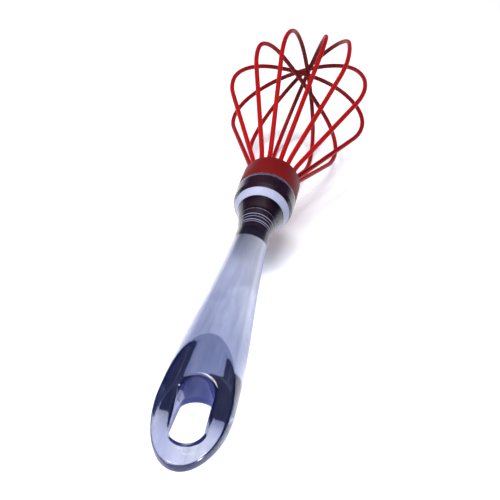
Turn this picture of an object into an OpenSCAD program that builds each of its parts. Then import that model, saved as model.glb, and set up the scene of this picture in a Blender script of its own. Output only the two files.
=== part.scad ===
// Balloon whisk: twelve silicone-coated wire legs, six loops, in a clear handle.
// Each piece is drawn along its own axis, butt at y = 0 and tip at the far end,
// and lying() then sets the whole whisk down on the table as it rests.

/* [Handle] */
// Length of the clear handle, butt end to collar
handle_l = 155; // [150:1:162]
// Largest radius of the grip
grip_r = 13.9; // [13:0.1:15]
// Radius of the waist, where the fingers close
waist_r = 7.2; // [7:0.1:8]
// Distance from the butt end to the waist
waist_t = 125; // [122:1:126]
// Radius of the head where it meets the collar
head_r = 13.6; // [13.2:0.1:14.5]
// Length of the rounded butt end
butt_l = 27; // [22:1:32]

/* [Hanging slot] */
// Width of the hanging slot
slot_w = 12; // [9:0.5:13]
// Length of the hanging slot
slot_l = 25; // [18:0.5:26]
// Distance from the butt end to the slot's middle
slot_t = 22; // [20:0.5:26]
// Half the handle's thickness at the thumb faces' deepest line, near the butt end
dish_half = 2; // [1.5:0.1:3.5]
// Radius of the two dished thumb faces
dish_r = 114; // [90:2:140]
// Distance from the butt end to the deepest line of the thumb faces
dish_t = 0.5; // [0:0.5:6]

/* [Collar and plug] */
// Length of the red collar
collar_l = 14; // [12:0.5:18]
// Radius of the collar's front edge
collar_front_r = 13.4; // [13:0.1:14]
// Thickness of the collar's front wall
collar_wall = 7; // [4:0.5:8]
// Radius of the plug's thin stem
stem_r = 5.6; // [5:0.1:6]
// Radius of the plug's middle step
step_r = 7.6; // [7:0.1:7.9]
// Radius of the plug's head
plug_head_r = 11.6; // [10.5:0.1:12]
// Depth of the two glue grooves round the stem
groove_depth = 0.5; // [0.3:0.1:0.8]

/* [Wire loops] */
// Diameter of a leg over its silicone coat
coat_d = 2.3; // [2:0.1:2.5]
// Diameter of the steel wire
wire_d = 1.2; // [1:0.1:1.5]
// Radius of the circle of legs in the collar
leg_circle_r = 9.4; // [9:0.1:10.5]
// Largest radius of the balloon, to the middle of the wire
balloon_r = 36.5; // [33:0.5:38]
// Distance from the butt end to the widest place of the balloon
widest_t = 248; // [244:1:256]
// Angle at which a leg leans out halfway up
splay = 23; // [22:1:29]
// Radius of the first bend above the collar
first_bend_r = 32; // [20:1:50]
// How square the loops' shoulders are, where 1 would be a flat top
fullness = 0.93; // [0.75:0.01:0.95]
// Height of each loop's tip, from the butt end to the middle of the wire
loop_tip = [288.6, 281.2, 269.1, 283.7, 286, 293.7];
// Sideways shift of each loop's tip in its own plane
loop_lean = [2, 5.5, 0, -7.5, -2.5, -7];
// Hand-set turn of each loop about the whisk's axis
loop_turn = [-5, 0, 7, 1, 3, -4];

/* [Hidden] */
$fn = 64;

LOOPS = 6;
LEG_PITCH = 30;                        // twelve legs share the full turn
FIRST_LOOP = 75;                       // direction of loop 1, from straight up
CUT = 0.1;                             // a cut runs this far past a face

coat_r = coat_d / 2;
wire_r = wire_d / 2;
collar_front = handle_l + collar_l;    // the face that the legs leave
cavity_end = collar_front - collar_wall;
cavity_r = plug_head_r - 0.2;
spigot_l = 2;                          // plug into the collar's cavity
fill_start = handle_l + spigot_l;
coat_start = fill_start + 2;           // bare wire below, coat above
wire_start = handle_l - 5;             // end of the wire, deep in the plug

// A leg's outline: bend out, straight, bend back at the widest place
leg_out = balloon_r - leg_circle_r;
leg_run = widest_t - collar_front;
both_bends = (leg_out * cos(splay) - leg_run * sin(splay)) / (cos(splay) - 1);
second_bend_r = both_bends - first_bend_r;
RING_STEP = 7;                         // degrees of bend from ring to ring
SIDES = 8;

// Handle outline behind the collar
head_edge = handle_l - 9.5;            // bottom edge of the clear head
shoulder_t = handle_l - 13.5;          // where the shoulder leaves the neck
shoulder_r = 10.3;
head_edge_r = 12.5;
flare = 1.6;                           // how late the neck opens out

// Plug and socket steps, from the tip of the stem
stem_end = handle_l - 30.5;
step_start = handle_l - 18;
head_start = handle_l - 9;
groove_w = 0.7;
GROOVES = [handle_l - 27, handle_l - 23.5];

// Grip radius at distance t from the butt, past the rounded end
function grip(t) = let (s = (t - butt_l) / (waist_t - butt_l))
    waist_r + (grip_r - waist_r) * (0.35 * (1 + cos(180 * s)) + 0.3 * (1 - s));
function butt(a) = [grip_r * sin(a), butt_l * (1 - cos(a))];
function neck(t) = waist_r + (shoulder_r - waist_r)
    * pow((t - waist_t) / (shoulder_t - waist_t), flare);

// The handle lies on the far edge of its lower thumb face and on two lobes
function dish(t) = dish_half + pow(t - dish_t, 2) / (2 * dish_r);
function touch(lo, hi) = let (m = (lo + hi) / 2)
    hi - lo < 0.001 ? m : dish(m) < grip(m) ? touch(m, hi) : touch(lo, m);
touch_t = touch(butt_l, waist_t - 50);
low_lobe = FIRST_LOOP + 3 * LEG_PITCH + loop_turn[3];
next_lobe = FIRST_LOOP + 4 * LEG_PITCH + loop_turn[4];
roll = (low_lobe + next_lobe) / 2 - 180;
half_gap = (next_lobe - low_lobe) / 2;
// Height of the lobes' underside over the handle's, at a lift of angle a
function lobe_height(a) = (widest_t - touch_t) * sin(a) + grip(touch_t) * cos(a) - coat_r
    - (balloon_r - second_bend_r) * cos(half_gap) * cos(a)
    - second_bend_r * sqrt(pow(sin(a), 2) + pow(cos(half_gap) * cos(a), 2));
function lift(lo, hi) = let (m = (lo + hi) / 2)
    hi - lo < 0.0001 ? m : lobe_height(m) < 0 ? lift(m, hi) : lift(lo, m);
lie_angle = lift(0, 20);
rise = grip(touch_t) * cos(lie_angle) - touch_t * sin(lie_angle);
middle = (max(loop_tip) + coat_r) / 2 * cos(lie_angle);

// Sets the whisk down: rolls it onto two lobes and lifts its head
module lying() {
    translate([0, -middle, rise]) rotate([lie_angle, 0, 0])
        rotate([0, -roll, 0]) children();
}

// Stands a round piece, drawn upright, along the whisk's axis
module along() { rotate([-90, 0, 0]) children(); }

// ------------------------------------------------------------------ handle
module handle_outline() {
    polygon(concat(
        [for (i = [0:12]) butt(7.5 * i)],
        [for (i = [1:14]) let (t = butt_l + (waist_t - butt_l) * i / 14) [grip(t), t]],
        [for (i = [1:6]) let (t = waist_t + (shoulder_t - waist_t) * i / 6) [neck(t), t]],
        [[head_edge_r, head_edge], [head_r - 0.3, head_edge + 2], [head_r, handle_l - 1],
         [head_r, handle_l], [0, handle_l]]));
}

module thumb_cut() {
    translate([0, dish_t, dish_half + dish_r]) rotate([0, 90, 0])
        cylinder(r = dish_r, h = 4 * grip_r, center = true, $fn = 180);
}

module slot_cut() {
    run = (slot_l - slot_w) / 2;
    for (s = [-1, 1]) translate([0, slot_t + s * run, 0])
        cylinder(d = slot_w, h = 4 * grip_r, center = true);
    translate([0, slot_t, 0]) cube([slot_w, 2 * run, 4 * grip_r], center = true);
}

module socket_cut() {
    translate([0, 0, stem_end]) cylinder(r = stem_r, h = handle_l - stem_end + CUT);
    translate([0, 0, step_start]) cylinder(r = step_r, h = handle_l - step_start + CUT);
    translate([0, 0, head_start]) cylinder(r = plug_head_r, h = handle_l - head_start + CUT);
}

module handle() {
    color([0.72, 0.75, 0.88]) lying() difference() {
        along() rotate_extrude($fn = 96) handle_outline();
        for (side = [0, 180]) rotate([0, side, 0]) thumb_cut();
        slot_cut();
        along() socket_cut();
    }
}

// -------------------------------------------------------------------- plug
module groove(t) {
    translate([0, 0, t - groove_w / 2]) difference() {
        cylinder(r = stem_r + CUT, h = groove_w);
        translate([0, 0, -CUT]) cylinder(r = stem_r - groove_depth, h = groove_w + 2 * CUT);
    }
}

// Places one child at each of the twelve legs, about an upright axis
module at_legs() {
    for (k = [0:2 * LOOPS - 1])
        rotate([0, 0, leg_turn(k)]) translate([leg_circle_r, 0, 0]) children();
}
function loop_at(k) = FIRST_LOOP + LEG_PITCH * k + loop_turn[k];
function leg_turn(k) = loop_at(k % LOOPS) - 90 + (k < LOOPS ? 0 : 180);

module plug() {
    color([0.22, 0.03, 0.08]) lying() along() difference() {
        union() {
            translate([0, 0, stem_end]) cylinder(r = stem_r, h = step_start - stem_end);
            translate([0, 0, step_start]) cylinder(r = step_r, h = head_start - step_start);
            translate([0, 0, head_start]) cylinder(r = plug_head_r, h = handle_l - head_start);
            translate([0, 0, handle_l]) cylinder(r = cavity_r, h = spigot_l);
        }
        for (t = GROOVES) groove(t);
        at_legs() translate([0, 0, wire_start]) cylinder(r = wire_r, h = 20, $fn = 24);
    }
}

// ------------------------------------------------------------------ collar
module collar() {
    edge = 0.8;
    color([0.52, 0.11, 0.10]) lying() along() difference() {
        rotate_extrude($fn = 96) polygon([
            [0, handle_l], [head_r, handle_l], [collar_front_r, collar_front - edge],
            [collar_front_r - 0.25 * edge, collar_front - 0.25 * edge],
            [collar_front_r - edge, collar_front], [0, collar_front]]);
        translate([0, 0, handle_l - CUT])
            cylinder(r = cavity_r, h = cavity_end - handle_l + CUT);
        at_legs() translate([0, 0, handle_l]) cylinder(r = coat_r, h = 20, $fn = 24);
    }
}

// Poured round the leg ends, behind the collar's front wall
module epoxy_fill() {
    color([0.35, 0.10, 0.10]) lying() along() difference() {
        translate([0, 0, fill_start]) cylinder(r = cavity_r, h = cavity_end - fill_start);
        at_legs() translate([0, 0, fill_start - CUT]) cylinder(r = wire_r, h = 20, $fn = 24);
        at_legs() translate([0, 0, coat_start]) cylinder(r = coat_r, h = 20, $fn = 24);
    }
}

// ------------------------------------------------------------- wire loops
// A loop lies in its own plane: x runs out from the axis, y along the whisk.
// A route is a list of [x, y, heading], with a ring of the tube at each.
function arc(centre, radius, from, to, lead) = let (n = ceil(abs(to - from) / RING_STEP))
    [for (i = [0:n]) let (a = from + (to - from) * i / n)
        [centre[0] + radius * cos(a), centre[1] + radius * sin(a), a + lead]];

// One leg from its lower end to the tip: out, back at the widest place, over
function half_route(leg_start, tip, lean) = let (
    w = balloon_r - lean,
    h = tip - widest_t,
    small = fullness * min(w, h),
    large = (pow(max(w, h) - small, 2) + pow(min(w, h), 2) - small * small)
        / (2 * (min(w, h) - small)),
    side_r = h <= w ? small : large,
    top_r = h <= w ? large : small,
    meet = h <= w ? atan2(top_r - h, w - side_r) : atan2(h - top_r, side_r - w))
    concat(
        [[leg_circle_r, leg_start, 90]],
        arc([leg_circle_r + first_bend_r, collar_front], first_bend_r, 180, 180 - splay, -90),
        arc([balloon_r - second_bend_r, widest_t], second_bend_r, -splay, -RING_STEP, 90),
        arc([balloon_r - side_r, widest_t], side_r, 0, meet, 90),
        [for (p = arc([lean, tip - top_r], top_r, meet, 90, 90)) if (p[2] > meet + 91) p]);

// The whole loop: up one side and down the other
function route(leg_start, tip, lean) = let (
    up = half_route(leg_start, tip, lean),
    back = half_route(leg_start, tip, -lean))
    concat(up, [for (i = [len(back) - 2:-1:0]) [-back[i][0], back[i][1], 360 - back[i][2]]]);

function rings(path, r) = [for (p = path) for (s = [0:SIDES - 1]) let (a = 360 * s / SIDES)
    [p[0] - r * cos(a) * sin(p[2]), p[1] + r * cos(a) * cos(p[2]), r * sin(a)]];

// Quads between ring i and the next, seen from outside or, flipped, inside
function skin(i, base, flip) = [for (s = [0:SIDES - 1]) let (
    n = (s + 1) % SIDES,
    q = [for (c = [[i, s], [i, n], [i + 1, n], [i + 1, s]]) base + c[0] * SIDES + c[1]])
    flip ? [q[3], q[2], q[1], q[0]] : q];

module rod(path, r) {
    last = len(path) - 1;
    polyhedron(rings(path, r), concat(
        [for (i = [0:last - 1]) each skin(i, 0, false)],
        [[for (s = [SIDES - 1:-1:0]) s], [for (s = [0:SIDES - 1]) last * SIDES + s]]));
}

module tube(path, r_out, r_in) {
    last = len(path) - 1;
    inner = len(path) * SIDES;
    polyhedron(concat(rings(path, r_out), rings(path, r_in)), concat(
        [for (i = [0:last - 1]) each skin(i, 0, false)],
        [for (i = [0:last - 1]) each skin(i, inner, true)],
        [for (s = [0:SIDES - 1]) let (n = (s + 1) % SIDES) [n, s, inner + s, inner + n]],
        [for (s = [0:SIDES - 1]) let (n = (s + 1) % SIDES, e = last * SIDES)
            [e + s, e + n, inner + e + n, inner + e + s]]));
}

module silicone_coat(k) {
    color([0.78, 0.13, 0.10]) lying() rotate([0, loop_at(k) - 90, 0])
        tube(route(coat_start, loop_tip[k], loop_lean[k]), coat_r, wire_r);
}

module steel_wire(k) {
    color([0.75, 0.75, 0.76]) lying() rotate([0, loop_at(k) - 90, 0])
        rod(route(wire_start, loop_tip[k], loop_lean[k]), wire_r);
}

handle();
plug();
collar();
epoxy_fill();
silicone_coat(0);  // silicone_coat_1
silicone_coat(1);  // silicone_coat_2
silicone_coat(2);  // silicone_coat_3
silicone_coat(3);  // silicone_coat_4
silicone_coat(4);  // silicone_coat_5
silicone_coat(5);  // silicone_coat_6
steel_wire(0);  // steel_wire_1
steel_wire(1);  // steel_wire_2
steel_wire(2);  // steel_wire_3
steel_wire(3);  // steel_wire_4
steel_wire(4);  // steel_wire_5
steel_wire(5);  // steel_wire_6
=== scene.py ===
import math

import bmesh
import bpy
import numpy as np
from mathutils import Matrix, Vector


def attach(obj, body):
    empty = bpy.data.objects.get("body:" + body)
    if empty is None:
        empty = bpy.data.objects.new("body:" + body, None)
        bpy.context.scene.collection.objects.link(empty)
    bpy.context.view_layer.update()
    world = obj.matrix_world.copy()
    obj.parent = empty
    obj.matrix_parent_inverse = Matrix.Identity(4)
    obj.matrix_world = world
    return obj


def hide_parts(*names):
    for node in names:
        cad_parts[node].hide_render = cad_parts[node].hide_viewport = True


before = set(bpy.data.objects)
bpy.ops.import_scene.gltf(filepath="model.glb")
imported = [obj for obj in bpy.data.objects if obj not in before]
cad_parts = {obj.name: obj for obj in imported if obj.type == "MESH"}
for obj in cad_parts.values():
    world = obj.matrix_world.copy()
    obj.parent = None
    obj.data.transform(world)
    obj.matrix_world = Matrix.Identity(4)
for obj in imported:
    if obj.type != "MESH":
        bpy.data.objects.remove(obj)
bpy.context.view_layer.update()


# ---------------------------------------------------------------- camera
# The whisk lies on a pale table, seen from behind the butt and from above,
# a little to the right, with the camera turned slightly about its own axis.
AIM = Vector((0.0007, -0.0314, 0.0206))
CAMERA_DISTANCE = 0.366
CAMERA_AZIMUTH = math.radians(7.93)
CAMERA_HEIGHT = math.radians(31.47)
CAMERA_ROLL = math.radians(5.96)

camera_data = bpy.data.cameras.new("view")
camera_data.lens = 63.1
camera_data.sensor_width = 36.0
camera_data.clip_start = 0.01
camera_data.clip_end = 20.0
camera = bpy.data.objects.new("view", camera_data)
bpy.context.scene.collection.objects.link(camera)
back = Vector((
    math.sin(CAMERA_AZIMUTH) * math.cos(CAMERA_HEIGHT),
    -math.cos(CAMERA_AZIMUTH) * math.cos(CAMERA_HEIGHT),
    math.sin(CAMERA_HEIGHT)))
facing = (-back).to_track_quat("-Z", "Y").to_matrix() @ Matrix.Rotation(CAMERA_ROLL, 3, "Z")
camera.matrix_world = Matrix.Translation(AIM + back * CAMERA_DISTANCE) @ facing.to_4x4()
bpy.context.scene.camera = camera


# ------------------------------------------------------ table and lights
# A matt white table top. A square lamp high above gives the even light, one
# on the left throws a soft shadow to the right, and a tiny one on the right
# leaves a spark on the rims.
class Value:
    """One socket, wrapped so that sums on it are written as plain arithmetic."""

    def __init__(self, finish, socket):
        self.finish = finish
        self.socket = socket

    def _math(self, operation, a, b):
        node = self.finish.node("ShaderNodeMath", {"operation": operation}, {0: a, 1: b})
        return node.out()

    def __add__(self, other):
        return self._math("ADD", self, other)

    def __radd__(self, other):
        return self._math("ADD", other, self)

    def __sub__(self, other):
        return self._math("SUBTRACT", self, other)

    def __rsub__(self, other):
        return self._math("SUBTRACT", other, self)

    def __mul__(self, other):
        return self._math("MULTIPLY", self, other)

    def __rmul__(self, other):
        return self._math("MULTIPLY", other, self)

    def __truediv__(self, other):
        return self._math("DIVIDE", self, other)

    def __rtruediv__(self, other):
        return self._math("DIVIDE", other, self)

    def __pow__(self, other):
        return self._math("POWER", self, other)

    def __rpow__(self, other):
        return self._math("POWER", other, self)

    def __abs__(self):
        return self._math("ABSOLUTE", self, 0.0)


class Made:
    """A node just made, whose outputs are read as Values."""

    def __init__(self, finish, node):
        self.finish = finish
        self.node = node

    def out(self, name=0):
        return Value(self.finish, self.node.outputs[name])


class Finish:
    """The nodes of one material, or of the room around the table."""

    def __init__(self, owner):
        owner.use_nodes = True
        self.owner = owner
        self.tree = owner.node_tree
        self.tree.nodes.clear()

    def node(self, kind, settings=None, inputs=None):
        """Adds a node: its settings first, then its sockets' values or links."""
        made = self.tree.nodes.new(kind)
        for key, value in (settings or {}).items():
            if key == "stops":
                ramp = made.color_ramp.elements
                while len(ramp) < len(value):
                    ramp.new(1.0)
                for stop, (place, shade) in zip(ramp, value):
                    stop.position = place
                    stop.color = shade
            else:
                setattr(made, key, value)
        for key, value in (inputs or {}).items():
            if isinstance(value, Value):
                self.tree.links.new(value.socket, made.inputs[key])
            else:
                made.inputs[key].default_value = value
        return Made(self, made)

    def place(self):
        """Each point's place in the shared frame."""
        return self.node("ShaderNodeTexCoord").out("Object")

    def turned_place(self, turn, scale=(1.0, 1.0, 1.0)):
        """Each point's place after the matrix turn, then scaled."""
        moved = self.node("ShaderNodeMapping", {}, {
            "Vector": self.place(), "Location": tuple(turn.translation),
            "Rotation": tuple(turn.to_euler("XYZ"))}).out()
        return self.node("ShaderNodeVectorMath", {"operation": "MULTIPLY"}, {
            0: moved, 1: scale}).out()

    def spread(self, value, low, high):
        """Value eased so that low and less give zero, high and more give one."""
        return self.node("ShaderNodeMapRange", {"interpolation_type": "SMOOTHSTEP"}, {
            0: value, 1: low, 2: high, 3: 0.0, 4: 1.0}).out(0)

    def below(self, value, limit, edge):
        """One below the limit and zero above it, eased over edge each way."""
        return 1.0 - self.spread(value, limit - edge, limit + edge)

    def band(self, value, start, end, edge):
        """One from start to end and zero outside, eased over edge each way."""
        return self.spread(value, start - edge, start + edge) * self.below(value, end, edge)

    def noise(self, scale, detail=2.0, roughness=0.5, vector=None):
        """A cloudy pattern, over the piece's own place unless told otherwise."""
        return self.node("ShaderNodeTexNoise", {}, {
            "Vector": vector or self.place(), "Scale": scale,
            "Detail": detail, "Roughness": roughness}).out("Fac")

    def blend(self, mask, low, high):
        """The colour low where the mask is zero, and high where it is one."""
        return self.node("ShaderNodeMix", {"data_type": "RGBA"}, {
            0: mask, 6: low, 7: high}).out(2)

    def bump(self, height, strength, distance):
        return self.node("ShaderNodeBump", {}, {
            "Height": height, "Strength": strength, "Distance": distance}).out("Normal")

    def finish(self, shader, volume=None):
        """Closes the material with its shaders and hands it back."""
        inputs = {"Surface": shader}
        if volume:
            inputs["Volume"] = volume
        self.node("ShaderNodeOutputMaterial", {}, inputs)
        return self.owner


def new_finish(name):
    return Finish(bpy.data.materials.new(name))


white_table = new_finish("white_table")
table_tone = white_table.blend(
    white_table.noise(3.0), (0.86, 0.86, 0.88, 1.0), (0.88, 0.88, 0.90, 1.0))
table_shader = white_table.node("ShaderNodeBsdfPrincipled", {}, {
    "Base Color": table_tone, "Roughness": 0.8, "Specular IOR Level": 0.2,
    "Emission Color": (1.0, 1.0, 1.0, 1.0), "Emission Strength": 0.23})
TABLE_SIZE = 8.0
table_mesh = bpy.data.meshes.new("table_top")
half = TABLE_SIZE / 2
table_mesh.from_pydata(
    [(-half, -half, 0), (half, -half, 0), (half, half, 0), (-half, half, 0)], [], [(0, 1, 2, 3)])
table_top = bpy.data.objects.new("table_top", table_mesh)
bpy.context.scene.collection.objects.link(table_top)
table_mesh.materials.append(white_table.finish(table_shader.out()))


def soft_light(name, place, side, power, tint):
    """A square lamp with sides that long, facing what the camera aims at."""
    lamp = bpy.data.lights.new(name, "AREA")
    lamp.shape = "SQUARE"
    lamp.size = side
    lamp.energy = power
    lamp.color = tint
    holder = bpy.data.objects.new(name, lamp)
    holder.location = place
    holder.rotation_mode = "QUATERNION"
    holder.rotation_quaternion = (AIM - Vector(place)).to_track_quat("-Z", "Y")
    bpy.context.scene.collection.objects.link(holder)
    return holder


soft_light("left_light", (-0.21, -0.25, 0.53), 0.20, 2.5, (1.0, 0.99, 0.97))
overhead = soft_light("overhead_light", (0.04, 0.12, 1.6), 0.7, 20.5, (1.0, 1.0, 1.0))
overhead.visible_glossy = False
soft_light("edge_light", (0.26, -0.13, 0.55), 0.06, 0.25, (1.0, 1.0, 1.0))

# The room is navy dark all round, so that the clear and the dark pieces keep
# their depth, with a pale ceiling and a pale skirting.
world = bpy.data.worlds.new("studio")
bpy.context.scene.world = world
room = Finish(world)
direction = room.node("ShaderNodeTexCoord").out("Generated")
height = room.node("ShaderNodeSeparateXYZ", {}, {0: direction}).out("Z")
room_tone = room.node("ShaderNodeValToRGB", {"stops": [
    (0.0, (0.72, 0.73, 0.78, 1.0)),
    (0.10, (0.30, 0.31, 0.40, 1.0)),
    (0.24, (0.030, 0.036, 0.13, 1.0)),
    (0.80, (0.020, 0.023, 0.085, 1.0)),
    (1.0, (0.40, 0.41, 0.50, 1.0))]}, {"Fac": height}).out("Color")
room_light = room.node("ShaderNodeBackground", {}, {"Color": room_tone, "Strength": 1.0})
room.node("ShaderNodeOutputWorld", {}, {"Surface": room_light.out()})
bpy.context.scene.view_settings.view_transform = "Standard"


# ---------------------------------------------------------------- handle
# One clear injection-moulded acrylic piece, tinted a faint lavender blue and
# polished. Its butt has a dished thumb face above and below with a hanging
# slot between them, and its head is bored out in three steps for the plug.

# The round pieces are drawn about the whisk's own axis, butt end at zero, and
# LAY then lays them down as the frame has them.
ROLL = math.radians(-2.0)
LIFT = math.radians(6.8456)
RISE = 0.0067409
MIDDLE = 0.146374
LAY = (Matrix.Translation((0, -MIDDLE, RISE)) @ Matrix.Rotation(LIFT, 4, "X")
       @ Matrix.Rotation(ROLL, 4, "Y"))
LAY_TURN = np.array(LAY.to_3x3())
LAY_SHIFT = np.array(LAY.translation)
UNLAY = LAY.inverted()


def laid(points):
    """Points about the whisk's axis, moved to where they lie on the table."""
    return points @ LAY_TURN.T + LAY_SHIFT


def unlaid(points):
    """Points on the lying whisk, moved back about its own axis."""
    return (points - LAY_SHIFT) @ LAY_TURN


HANDLE_LENGTH = 0.155
GRIP_RADIUS = 0.0139
# Share of the grip's taper that is a wave, where the rest is straight
GRIP_WAVE = 0.7
WAIST_RADIUS = 0.0072
WAIST_PLACE = 0.125
# How late the neck flares, where 1 would be a plain cone
NECK_FLARE = 1.6
BUTT_LENGTH = 0.027
SHOULDER_PLACE = HANDLE_LENGTH - 0.0135
SHOULDER_RADIUS = 0.0103
HEAD_PLACE = HANDLE_LENGTH - 0.0095
HEAD_EDGE_RADIUS = 0.0125
HEAD_RADIUS = 0.0136
HEAD_TAPER = 0.0003
# The thumb faces: half the thickness left between them at the butt, and the
# radius of the dish and its lowest place
DISH_HALF = 0.002
DISH_RADIUS = 0.114
DISH_PLACE = 0.0005
SLOT_RADIUS = 0.006
SLOT_HALF_RUN = 0.0065
SLOT_PLACE = 0.022
RIM_ROUND = 0.0003
DISH_EDGE_ROUND = 0.0009
SLOT_EDGE_ROUND = 0.0014
# Where the plug's glue grooves run
GROOVES = (HANDLE_LENGTH - 0.027, HANDLE_LENGTH - 0.0235)
# The socket's three steps: where each starts, and its radius
STEM = (HANDLE_LENGTH - 0.0305, 0.0056)
STEP = (HANDLE_LENGTH - 0.018, 0.0076)
HEAD = (HANDLE_LENGTH - 0.009, 0.0116)
# How far the plug bites into the socket's wall, so that no gap shows
GLUE_FILM = 0.00004


def outline_radius(t):
    """The handle's radius at distance t from the butt, past its round end."""
    s = (t - BUTT_LENGTH) / (WAIST_PLACE - BUTT_LENGTH)
    grip = WAIST_RADIUS + (GRIP_RADIUS - WAIST_RADIUS) * (
        GRIP_WAVE / 2 * (1 + np.cos(np.pi * s)) + (1 - GRIP_WAVE) * (1 - s))
    neck_part = np.clip((t - WAIST_PLACE) / (SHOULDER_PLACE - WAIST_PLACE), 0, 1)
    neck = WAIST_RADIUS + (SHOULDER_RADIUS - WAIST_RADIUS) * neck_part ** NECK_FLARE
    head = np.interp(t, [SHOULDER_PLACE, HEAD_PLACE, HEAD_PLACE + 0.002, HANDLE_LENGTH - 0.001],
                     [SHOULDER_RADIUS, HEAD_EDGE_RADIUS, HEAD_RADIUS - HEAD_TAPER, HEAD_RADIUS])
    return np.where(t < WAIST_PLACE, grip, np.where(t < SHOULDER_PLACE, neck, head))


# The outline on a fine ruler, its corners eased over a millimetre
FINE = np.linspace(0, HANDLE_LENGTH + 0.01, 1651)
ease = np.hanning(9) / np.hanning(9).sum()
EASED_RADIUS = np.convolve(np.pad(outline_radius(FINE), 4, "edge"), ease, "valid")
EASED_SLOPE = np.gradient(EASED_RADIUS, FINE)


def rounded_max(a, b, round_radius):
    """The greater of two distances, with the corner between them rounded."""
    near = np.maximum(round_radius - np.abs(a - b), 0)
    return np.maximum(a, b) + near * near / (4 * round_radius)


def acrylic_distance(p):
    """How far each point lies outside the clear moulding, below zero inside."""
    x, t, z = p.T
    r = np.hypot(x, z)
    radius = np.interp(t, FINE, EASED_RADIUS)
    slope = np.interp(t, FINE, EASED_SLOPE)
    body = (r - radius) / np.sqrt(1 + slope * slope)
    s = t - BUTT_LENGTH
    k0 = np.sqrt((r / GRIP_RADIUS) ** 2 + (s / BUTT_LENGTH) ** 2) + 1e-9
    k1 = np.sqrt((r / GRIP_RADIUS ** 2) ** 2 + (s / BUTT_LENGTH ** 2) ** 2) + 1e-9
    solid = np.where(s < 0, k0 * (k0 - 1) / k1, body)
    solid = rounded_max(solid, t - HANDLE_LENGTH, RIM_ROUND)
    dish = DISH_RADIUS - np.hypot(t - DISH_PLACE, np.abs(z) - DISH_HALF - DISH_RADIUS)
    solid = rounded_max(solid, dish, DISH_EDGE_ROUND)
    slot = np.hypot(x, np.maximum(np.abs(t - SLOT_PLACE) - SLOT_HALF_RUN, 0)) - SLOT_RADIUS
    solid = rounded_max(solid, -slot, SLOT_EDGE_ROUND)
    for start, bore_radius in (STEM, STEP, HEAD):
        bore = np.maximum(r - bore_radius, start - t)
        solid = np.maximum(solid, -bore)
    return solid


def settled(points, distance, rounds):
    """Moves points straight onto the surface where distance is zero."""
    step = 2e-6
    for _ in range(rounds):
        value = distance(points)
        slope = np.stack([
            (distance(points + offset) - distance(points - offset)) / (2 * step)
            for offset in np.eye(3) * step], 1)
        size = np.maximum((slope * slope).sum(1), 0.25)
        points = points - slope * (value / size)[:, None]
    return points


def plain_mesh(name, source):
    """A piece whose mesh is source's, as its modifiers leave it."""
    graph = bpy.context.evaluated_depsgraph_get()
    mesh = bpy.data.meshes.new_from_object(source.evaluated_get(graph))
    mesh.name = name
    piece = bpy.data.objects.new(name, mesh)
    bpy.context.scene.collection.objects.link(piece)
    bpy.data.objects.remove(source)
    return piece


def read_points(mesh):
    flat = np.zeros(len(mesh.vertices) * 3)
    mesh.vertices.foreach_get("co", flat)
    return flat.reshape(-1, 3)


def write_points(mesh, points):
    mesh.vertices.foreach_set("co", points.ravel())
    mesh.update()


# The frame's handle is given an even mesh, whose points are then smoothed and
# settled in turn onto the rounded shape above.
VOXEL = 0.00045
SMOOTHING_ROUNDS = 6
KEPT_SHARE = 0.4
rough_handle = bpy.data.objects.new("rough_handle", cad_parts["handle"].data.copy())
bpy.context.scene.collection.objects.link(rough_handle)
merging = bmesh.new()
merging.from_mesh(rough_handle.data)
bmesh.ops.remove_doubles(merging, verts=merging.verts, dist=1e-6)
merging.to_mesh(rough_handle.data)
merging.free()
remesh = rough_handle.modifiers.new("even_mesh", "REMESH")
remesh.mode = "VOXEL"
remesh.voxel_size = VOXEL
clear_handle = plain_mesh("clear_handle", rough_handle)

edges = np.zeros(len(clear_handle.data.edges) * 2, int)
clear_handle.data.edges.foreach_get("vertices", edges)
edges = edges.reshape(-1, 2)
handle_points = unlaid(read_points(clear_handle.data))
neighbours = np.bincount(edges.ravel(), minlength=len(handle_points))[:, None]
for _ in range(SMOOTHING_ROUNDS):
    handle_points = settled(handle_points, acrylic_distance, 2)
    total = np.zeros_like(handle_points)
    np.add.at(total, edges[:, 0], handle_points[edges[:, 1]])
    np.add.at(total, edges[:, 1], handle_points[edges[:, 0]])
    handle_points = KEPT_SHARE * handle_points + (1 - KEPT_SHARE) * total / neighbours
handle_points = settled(handle_points, acrylic_distance, 6)
write_points(clear_handle.data, laid(handle_points))
clear_handle.data.shade_smooth()
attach(clear_handle, "root")
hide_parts("handle")

acrylic = new_finish("clear_acrylic")


def whisk_place(finish):
    """Each point's place across, along and above the whisk's axis, and off it."""
    parts = finish.node("ShaderNodeSeparateXYZ", {}, {0: finish.turned_place(UNLAY)})
    x = parts.out("X")
    z = parts.out("Z")
    return x, parts.out("Y"), z, (x * x + z * z) ** 0.5


# Painted streaks drawn out along the axis stand in for the light and dark surroundings that the
# clear grip refracts
STREAK_STRETCH = (230.0, 9.0, 230.0)
cloud = acrylic.noise(45.0, 3.0)
handling_marks = acrylic.noise(900.0, 4.0, 0.65)
painted_streaks = acrylic.noise(1.0, 3.0, 0.6, acrylic.turned_place(UNLAY, STREAK_STRETCH))
x_place, t_place, z_place, off_axis = whisk_place(acrylic)

# The dished thumb faces get painted shade for the dark surroundings they refract, which deepens
# over a run away from the butt
DEEPENING_RUN = (0.014, 0.036)
DEEP_AT_BUTT = 0.35
FACE_END = 0.056
FACE_SHADE_SHARE = 0.9
dish_run = t_place - DISH_PLACE
dish_height = DISH_HALF + DISH_RADIUS - (DISH_RADIUS ** 2 - dish_run * dish_run) ** 0.5
above_dish = abs(z_place) - dish_height
shaded_thumb_face = acrylic.band(above_dish, -0.0005, 0.0004, 0.0001)
deep_end = DEEP_AT_BUTT + (1.0 - DEEP_AT_BUTT) * acrylic.spread(t_place, *DEEPENING_RUN)
deep_end = deep_end * acrylic.below(t_place, FACE_END, 0.001)
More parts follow.
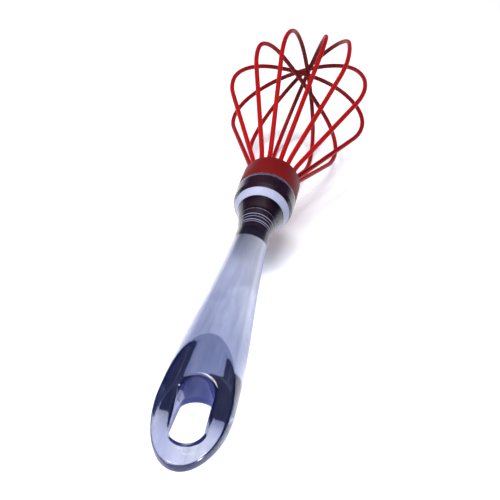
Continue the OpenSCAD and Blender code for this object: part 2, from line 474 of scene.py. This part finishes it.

# The slot's walls, darkened with painted shade
SLOT_WALL_RUN = (0.0085, 0.036)
SLOT_SHADE_SHARE = 0.7
shaded_slot_wall = (acrylic.below(abs(x_place), SLOT_RADIUS + 0.0012, 0.0004)
                * acrylic.below(above_dish, -0.0008, 0.0003)
                * acrylic.band(t_place, *SLOT_WALL_RUN, 0.001))

# The grip's two sides, darkened with painted shade for the dark edges the clear grip shows there:
# how far along they run, and how high on the radius they fade out
SIDE_RUN = (0.048, 0.118)
SIDE_FADE = (0.20, 0.60)
SIDE_SHADE_SHARE = 0.8
shaded_side = ((1.0 - acrylic.spread(abs(z_place) / off_axis, *SIDE_FADE))
           * acrylic.band(t_place, *SIDE_RUN, 0.009))

# The tint, with painted light and dark streaks for what the grip refracts
streaked_tint = acrylic.blend(
    acrylic.spread(painted_streaks, 0.36, 0.62), (0.50, 0.52, 0.57, 1.0), (0.72, 0.725, 0.75, 1.0))
# Painted shade darkens the tint on the grip's sides
side_shaded_tint = acrylic.blend(shaded_side * SIDE_SHADE_SHARE, streaked_tint, (0.36, 0.38, 0.47, 1.0))
# Painted shade: a dark tint on the thumb faces and the slot's walls
acrylic_tint = acrylic.blend(
    shaded_thumb_face * deep_end * FACE_SHADE_SHARE + shaded_slot_wall * SLOT_SHADE_SHARE,
    side_shaded_tint, (0.16, 0.19, 0.31, 1.0))
acrylic_shader = acrylic.node("ShaderNodeBsdfPrincipled", {}, {
    "Base Color": acrylic_tint, "Roughness": 0.015 + handling_marks * 0.03, "IOR": 1.49,
    "Transmission Weight": 1.0,
    "Normal": acrylic.bump(cloud, 0.12, 0.0012)})
light_through = acrylic.node("ShaderNodeBsdfTransparent", {}, {
    "Color": (0.80, 0.82, 0.93, 1.0)})
shadow_only = acrylic.node("ShaderNodeLightPath").out("Is Shadow Ray")
clear_body = acrylic.node("ShaderNodeMixShader", {}, {
    0: shadow_only, 1: acrylic_shader.out(), 2: light_through.out()})

# A trace of navy haze in the grip and butt, and more as painted shade on the slot's walls and sides
HAZE_SHARE = 0.036
HAZE_FADE = (0.108, 0.124)
SLOT_SHADE_HAZE_SHARE = 0.4
SIDE_SHADE_HAZE_SHARE = 0.35
haze_shader = acrylic.node("ShaderNodeBsdfPrincipled", {}, {
    "Base Color": acrylic.blend(cloud, (0.06, 0.09, 0.42, 1.0), (0.10, 0.13, 0.50, 1.0)),
    "Roughness": 0.6, "Specular IOR Level": 0.0})
hazy_body = acrylic.node("ShaderNodeMixShader", {}, {
    0: (1.0 - acrylic.spread(t_place, *HAZE_FADE)) * HAZE_SHARE
    + shaded_slot_wall * SLOT_SHADE_HAZE_SHARE + shaded_side * SIDE_SHADE_HAZE_SHARE,
    1: clear_body.out(), 2: haze_shader.out()})

# Painted light: a pale band on the shoulder for the white table it refracts and a painted highlight
# along the joint with the collar; with them, the glue rings that show through at the plug's step
# and grooves
SHOULDER_LIGHT_SHARE = 0.95
JOINT_HIGHLIGHT_SHARE = 0.6
GLUE_RING_HALF = 0.0002
painted_shoulder_light = acrylic.band(t_place, SHOULDER_PLACE + 0.0002, HEAD_PLACE - 0.0002, 0.00025)
painted_joint_highlight = acrylic.band(t_place, HANDLE_LENGTH - 0.00045, HANDLE_LENGTH + 0.001, 0.0001)
glue_lines = 0.0
for t in (*GROOVES, STEP[0]):
    glue_lines = acrylic.band(t_place, t - GLUE_RING_HALF, t + GLUE_RING_HALF, 0.0001) + glue_lines
glue_lines = glue_lines * acrylic.below(off_axis, STEP[1] + 0.0004, 0.0002)
pale_mottle = acrylic.noise(260.0, 3.0)
glue_and_pale_light_shader = acrylic.node("ShaderNodeBsdfPrincipled", {}, {
    "Base Color": acrylic.blend(pale_mottle, (0.33, 0.36, 0.52, 1.0), (0.48, 0.50, 0.66, 1.0)),
    "Roughness": 0.45, "Specular IOR Level": 0.4})
# Share of the pale shader: painted light on the shoulder and joint, and the glue rings
glue_and_pale_light_share = (painted_shoulder_light * SHOULDER_LIGHT_SHARE + painted_joint_highlight * JOINT_HIGHLIGHT_SHARE
                 + glue_lines * (0.25 + handling_marks))
acrylic_mix = acrylic.node("ShaderNodeMixShader", {}, {
    0: glue_and_pale_light_share, 1: hazy_body.out(), 2: glue_and_pale_light_shader.out()})
acrylic_depth = acrylic.node("ShaderNodeVolumeAbsorption", {}, {
    "Color": (0.45, 0.48, 0.57, 1.0), "Density": 50.0})
clear_handle.data.materials.clear()
clear_handle.data.materials.append(
    acrylic.finish(acrylic_mix.out(), acrylic_depth.out()))


# ------------------------------------------------------------------ plug
# A dark maroon moulded plug glued into the handle's stepped socket. Two glue
# grooves run round its stem, and a short spigot stands into the collar.
ROUND_SIDES = 128
INNER_RING = 0.0005


def lathe(name, profile):
    """Turns a profile of (radius, place) about the whisk's axis, ends closed."""
    turning = bmesh.new()
    angles = [math.tau * i / ROUND_SIDES for i in range(ROUND_SIDES)]
    rings = []
    for radius, t in profile:
        rings.append([turning.verts.new((radius * math.cos(a), t, radius * math.sin(a)))
                      for a in angles])
    for lower, upper in zip(rings, rings[1:]):
        for i in range(ROUND_SIDES):
            j = (i + 1) % ROUND_SIDES
            turning.faces.new((lower[i], upper[i], upper[j], lower[j]))
    turning.faces.new(rings[0])
    turning.faces.new(rings[-1])
    bmesh.ops.recalc_face_normals(turning, faces=turning.faces)
    mesh = bpy.data.meshes.new(name)
    turning.to_mesh(mesh)
    turning.free()
    piece = bpy.data.objects.new(name, mesh)
    bpy.context.scene.collection.objects.link(piece)
    return piece


def softened(corners, cut):
    """The same outline with a three-point round at each inner corner."""
    points = [corners[0]]
    for before, corner, after in zip(corners, corners[1:], corners[2:]):
        before, corner, after = (Vector(p) for p in (before, corner, after))
        start = corner + (before - corner).normalized() * cut
        end = corner + (after - corner).normalized() * cut
        points += [start, (start + end + 2 * corner) / 4, end]
    return points + [corners[-1]]


PLUG_EDGE_ROUND = 0.0001
GROOVE_HALF = 0.00035
GROOVE_DEPTH = 0.0005
SPIGOT_RADIUS = 0.0114
SPIGOT_LENGTH = 0.002


def plug_outline():
    """The plug's profile from the end of its stem to the end of its spigot."""
    stem = STEM[1] + GLUE_FILM
    step = STEP[1] + GLUE_FILM
    head = HEAD[1] + GLUE_FILM
    corners = [(INNER_RING, STEM[0] - GLUE_FILM), (stem, STEM[0] - GLUE_FILM)]
    for t in GROOVES:
        corners += [(stem, t - GROOVE_HALF), (stem - GROOVE_DEPTH, t - GROOVE_HALF),
                    (stem - GROOVE_DEPTH, t + GROOVE_HALF), (stem, t + GROOVE_HALF)]
    corners += [(stem, STEP[0] - GLUE_FILM), (step, STEP[0] - GLUE_FILM),
                (step, HEAD[0] - GLUE_FILM), (head, HEAD[0] - GLUE_FILM),
                (head, HANDLE_LENGTH), (SPIGOT_RADIUS, HANDLE_LENGTH),
                (SPIGOT_RADIUS, HANDLE_LENGTH + SPIGOT_LENGTH),
                (INNER_RING, HANDLE_LENGTH + SPIGOT_LENGTH)]
    return softened(corners, PLUG_EDGE_ROUND)


stepped_plug = lathe("stepped_plug", plug_outline())
write_points(stepped_plug.data, laid(read_points(stepped_plug.data)))
stepped_plug.data.shade_smooth()
stepped_plug.data.set_sharp_from_angle(angle=math.radians(50))
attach(stepped_plug, "root")
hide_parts("plug")

maroon = new_finish("dark_plug")
swirl = maroon.noise(160.0, 3.0)
maroon_tone = maroon.blend(swirl, (0.005, 0.0005, 0.0015, 1.0), (0.024, 0.002, 0.008, 1.0))
maroon_shader = maroon.node("ShaderNodeBsdfPrincipled", {}, {
    "Base Color": maroon_tone, "Roughness": 0.5 + swirl * 0.15, "Specular IOR Level": 0.3,
    "Normal": maroon.bump(maroon.noise(1400.0), 0.1, 0.0002)})
stepped_plug.data.materials.append(maroon.finish(maroon_shader.out()))


# ---------------------------------------------------------------- collar
# A brick-red moulded cap over the plug's spigot, matt, with twelve holes in
# its front wall that the coated legs come out of.
COLLAR_LENGTH = 0.014
COLLAR_FRONT = HANDLE_LENGTH + COLLAR_LENGTH
COLLAR_FRONT_RADIUS = 0.0134
COLLAR_WALL = 0.007
COLLAR_EDGE_ROUND = 0.0004
COLLAR_GAP = 0.00005
PRESS_FIT = 0.0002
LEG_CIRCLE_RADIUS = 0.0094
COAT_RADIUS = 0.00115
LEG_CLEARANCE = 0.00004
DRILL_LENGTH = 0.004
# Where the first leg stands, the even pitch of the twelve legs, and how far
# each loop is set off it, all in degrees
FIRST_LEG = 75
LEG_PITCH = 30
LOOP_TURN = (-5, 0, 7, 1, 3, -4)
LOOPS = len(LOOP_TURN)

cap = lathe("collar_blank", softened([
    (SPIGOT_RADIUS - PRESS_FIT, COLLAR_FRONT - COLLAR_WALL),
    (SPIGOT_RADIUS - PRESS_FIT, HANDLE_LENGTH + COLLAR_GAP),
    (HEAD_RADIUS, HANDLE_LENGTH + COLLAR_GAP),
    (COLLAR_FRONT_RADIUS, COLLAR_FRONT),
    (2 * INNER_RING, COLLAR_FRONT)], COLLAR_EDGE_ROUND))


def leg_angle(k):
    """Direction of leg k about the axis, turned from straight up."""
    return math.radians(FIRST_LEG + LEG_PITCH * k + LOOP_TURN[k % LOOPS])


drills = bmesh.new()
for k in range(2 * LOOPS):
    a = leg_angle(k)
    hole = Matrix.Translation((
        LEG_CIRCLE_RADIUS * math.sin(a), COLLAR_FRONT - DRILL_LENGTH / 4,
        LEG_CIRCLE_RADIUS * math.cos(a)))
    bmesh.ops.create_cone(
        drills, cap_ends=True, segments=32, radius1=COAT_RADIUS + LEG_CLEARANCE,
        radius2=COAT_RADIUS + LEG_CLEARANCE, depth=DRILL_LENGTH,
        matrix=hole @ Matrix.Rotation(math.pi / 2, 4, "X"))
drill_mesh = bpy.data.meshes.new("leg_drills")
drills.to_mesh(drill_mesh)
drills.free()
leg_drills = bpy.data.objects.new("leg_drills", drill_mesh)
bpy.context.scene.collection.objects.link(leg_drills)
boring = cap.modifiers.new("leg_holes", "BOOLEAN")
boring.operation = "DIFFERENCE"
boring.solver = "EXACT"
boring.object = leg_drills
red_collar = plain_mesh("red_collar", cap)
bpy.data.objects.remove(leg_drills)
write_points(red_collar.data, laid(read_points(red_collar.data)))
red_collar.data.shade_smooth()
red_collar.data.set_sharp_from_angle(angle=math.radians(40))
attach(red_collar, "root")
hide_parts("collar")

brick = new_finish("red_collar")
mottle = brick.noise(90.0, 4.0)
fine_grain = brick.noise(2200.0, 2.0)
brick_tone = brick.blend(mottle, (0.115, 0.003, 0.002, 1.0), (0.160, 0.005, 0.004, 1.0))
brick_shader = brick.node("ShaderNodeBsdfPrincipled", {}, {
    "Base Color": brick_tone, "Roughness": 0.50 + mottle * 0.12, "Specular IOR Level": 0.3,
    "Normal": brick.bump(fine_grain, 0.15, 0.0001)})
red_collar.data.materials.clear()
red_collar.data.materials.append(brick.finish(brick_shader.out()))


# ------------------------------------------------------------ epoxy fill
# Potting resin poured round the leg ends, shut in behind the collar's wall.
# It keeps the frame's own shape, because nothing of it shows.
resin = new_finish("epoxy")
resin_cloud = resin.noise(300.0, 3.0)
resin_shader = resin.node("ShaderNodeBsdfPrincipled", {}, {
    "Base Color": resin.blend(resin_cloud, (0.05, 0.012, 0.008, 1.0), (0.09, 0.03, 0.02, 1.0)),
    "Roughness": 0.25 + resin_cloud * 0.2})
epoxy_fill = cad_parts["epoxy_fill"]
epoxy_fill.data.materials.clear()
epoxy_fill.data.materials.append(resin.finish(resin_shader.out()))


# ----------------------------------------------------------- steel wires
# Drawn stainless spring wire inside each coat, its bare ends in the plug.
# The coats hide it all along, so it keeps the frame's own shape.
steel = new_finish("spring_steel")
drawing_lines = steel.noise(1800.0, 3.0)
steel_shader = steel.node("ShaderNodeBsdfPrincipled", {}, {
    "Base Color": steel.blend(drawing_lines, (0.45, 0.45, 0.46, 1.0), (0.60, 0.60, 0.61, 1.0)),
    "Metallic": 1.0, "Roughness": 0.25 + drawing_lines * 0.15})
steel_material = steel.finish(steel_shader.out())
for k in range(LOOPS):
    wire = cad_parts["steel_wire_%d" % (k + 1)]
    wire.data.materials.clear()
    wire.data.materials.append(steel_material)


# -------------------------------------------------------- silicone coats
# Red silicone moulded over each wire, satin to the touch. A loop is a leg out
# of the collar, a bend out, a bend back at the widest place and two bends over
# the tip, and the same down the other side.
BALLOON_RADIUS = 0.0365
WIDEST_PLACE = 0.248
SPLAY = math.radians(23)
FIRST_BEND = 0.032
# How square the loops' shoulders are, where 1 would be a flat top
FULLNESS = 0.93
# Where each loop's tip is along the whisk, and how far it leans off the axis
LOOP_TIP = (0.2886, 0.2812, 0.2691, 0.2837, 0.286, 0.2937)
LOOP_LEAN = (0.002, 0.0055, 0.0, -0.0075, -0.0025, -0.007)
COAT_START = HANDLE_LENGTH + SPIGOT_LENGTH + 0.002
LEG_STRAIGHT_END = COLLAR_FRONT - 0.004
# The straight between the leg's two bends runs out at SPLAY, and that settles
# what the radii of the bends add up to
LEG_RUN = WIDEST_PLACE - COLLAR_FRONT
LEG_OUT = BALLOON_RADIUS - LEG_CIRCLE_RADIUS
BOTH_BENDS = (LEG_OUT * math.cos(SPLAY) - LEG_RUN * math.sin(SPLAY)) / (math.cos(SPLAY) - 1)
SECOND_BEND = BOTH_BENDS - FIRST_BEND
ROUTE_STEP = 0.0016


def arc(centre, radius, start, end):
    """Points a short step apart along a round stretch."""
    steps = max(2, round(abs(end - start) * radius / ROUTE_STEP))
    return [(centre[0] + radius * math.cos(start + (end - start) * i / steps),
             centre[1] + radius * math.sin(start + (end - start) * i / steps))
            for i in range(steps + 1)]


def half_route(tip, lean):
    """One leg, in its loop's plane, from the collar's inside to the tip.

    From the widest place a tighter and a wider arc meet smoothly and reach the
    tip square to the axis.
    """
    w = BALLOON_RADIUS - lean
    h = tip - WIDEST_PLACE
    small = FULLNESS * min(w, h)
    large = ((max(w, h) - small) ** 2 + min(w, h) ** 2 - small ** 2) / (2 * (min(w, h) - small))
    side, top = (small, large) if h <= w else (large, small)
    meet = math.atan2(top - h, w - side) if h <= w else math.atan2(h - top, side - w)
    quarter = math.pi / 2
    stretches = [
        [(LEG_CIRCLE_RADIUS, COAT_START), (LEG_CIRCLE_RADIUS, LEG_STRAIGHT_END)],
        arc((LEG_CIRCLE_RADIUS + FIRST_BEND, COLLAR_FRONT), FIRST_BEND, math.pi, math.pi - SPLAY),
        arc((BALLOON_RADIUS - SECOND_BEND, WIDEST_PLACE), SECOND_BEND, -SPLAY, 0),
        arc((BALLOON_RADIUS - side, WIDEST_PLACE), side, 0, meet),
        arc((lean, tip - top), top, meet, quarter)]
    points = []
    for stretch in stretches:
        for point in stretch:
            if not points or math.dist(point, points[-1]) > 1e-5:
                points.append(point)
    return points


def loop_route(k):
    """The whole of loop k, up one leg and down the other, where it lies."""
    up = half_route(LOOP_TIP[k], LOOP_LEAN[k])
    down = half_route(LOOP_TIP[k], -LOOP_LEAN[k])
    flat = np.array(up + [(-x, y) for x, y in reversed(down[:-1])])
    a = leg_angle(k)
    return laid(np.stack([flat[:, 0] * math.sin(a), flat[:, 1], flat[:, 0] * math.cos(a)], 1))


# Painted shade: the red is darker towards the tip, and most of all where the loops cross
TIP_SHADE_RUN = (0.190, 0.262)
CROSSING_SHADE_RUN = (0.004, 0.036)
TIP_SHADE_SHARE = 0.25
silicone = new_finish("red_silicone")
batch = silicone.noise(60.0, 3.0)
skin = silicone.noise(1500.0, 3.0)
_, coat_place, _, off_middle = whisk_place(silicone)
tip_shade_ramp = silicone.spread(coat_place, *TIP_SHADE_RUN)
painted_tip_shade = tip_shade_ramp * (1.0 - silicone.spread(off_middle, *CROSSING_SHADE_RUN)) + tip_shade_ramp * TIP_SHADE_SHARE
fresh_red = silicone.blend(batch, (0.31, 0.002, 0.0015, 1.0), (0.41, 0.005, 0.003, 1.0))
# The red with the painted shade laid over it
silicone_tone = silicone.blend(painted_tip_shade, fresh_red, (0.13, 0.001, 0.001, 1.0))
silicone_shader = silicone.node("ShaderNodeBsdfPrincipled", {}, {
    "Base Color": silicone_tone, "Roughness": 0.36 + batch * 0.14, "Specular IOR Level": 0.2,
    "Normal": silicone.bump(skin, 0.06, 0.0001)})
silicone_material = silicone.finish(silicone_shader.out())


def tube_tree():
    """A tree that draws a round tube, painted, along the route it is given."""
    tree = bpy.data.node_groups.new("coat_over_route", "GeometryNodeTree")
    tree.interface.new_socket("Route", in_out="INPUT", socket_type="NodeSocketGeometry")
    radius = tree.interface.new_socket("Coat Radius", in_out="INPUT", socket_type="NodeSocketFloat")
    sides = tree.interface.new_socket("Sides", in_out="INPUT", socket_type="NodeSocketInt")
    paint = tree.interface.new_socket("Coat", in_out="INPUT", socket_type="NodeSocketMaterial")
    tree.interface.new_socket("Tube", in_out="OUTPUT", socket_type="NodeSocketGeometry")
    given = tree.nodes.new("NodeGroupInput")
    circle = tree.nodes.new("GeometryNodeCurvePrimitiveCircle")
    sweep = tree.nodes.new("GeometryNodeCurveToMesh")
    smooth = tree.nodes.new("GeometryNodeSetShadeSmooth")
    realise = tree.nodes.new("GeometryNodeRealizeInstances")
    painted = tree.nodes.new("GeometryNodeSetMaterial")
    made = tree.nodes.new("NodeGroupOutput")
    link = tree.links.new
    link(given.outputs["Coat Radius"], circle.inputs["Radius"])
    link(given.outputs["Sides"], circle.inputs["Resolution"])
    link(given.outputs["Route"], sweep.inputs["Curve"])
    link(circle.outputs["Curve"], sweep.inputs["Profile Curve"])
    sweep.inputs["Fill Caps"].default_value = True
    link(sweep.outputs["Mesh"], smooth.inputs["Geometry"])
    link(smooth.outputs["Geometry"], realise.inputs["Geometry"])
    link(realise.outputs["Geometry"], painted.inputs["Geometry"])
    link(given.outputs["Coat"], painted.inputs["Material"])
    link(painted.outputs["Geometry"], made.inputs["Tube"])
    return tree, radius.identifier, sides.identifier, paint.identifier


COAT_SIDES = 24
coat_tree, radius_socket, sides_socket, paint_socket = tube_tree()
for k in range(LOOPS):
    route = loop_route(k)
    line = bpy.data.curves.new("route_%d" % (k + 1), "CURVE")
    line.dimensions = "3D"
    spline = line.splines.new("POLY")
    spline.points.add(len(route) - 1)
    for point, place in zip(spline.points, route):
        point.co = (*place, 1.0)
    loop = bpy.data.objects.new("route_%d" % (k + 1), line)
    bpy.context.scene.collection.objects.link(loop)
    coating = loop.modifiers.new("coat", "NODES")
    coating.node_group = coat_tree
    coating[radius_socket] = COAT_RADIUS
    coating[sides_socket] = COAT_SIDES
    coating[paint_socket] = silicone_material
    coat = plain_mesh("red_loop_%d" % (k + 1), loop)
    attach(coat, "root")
    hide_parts("silicone_coat_%d" % (k + 1))
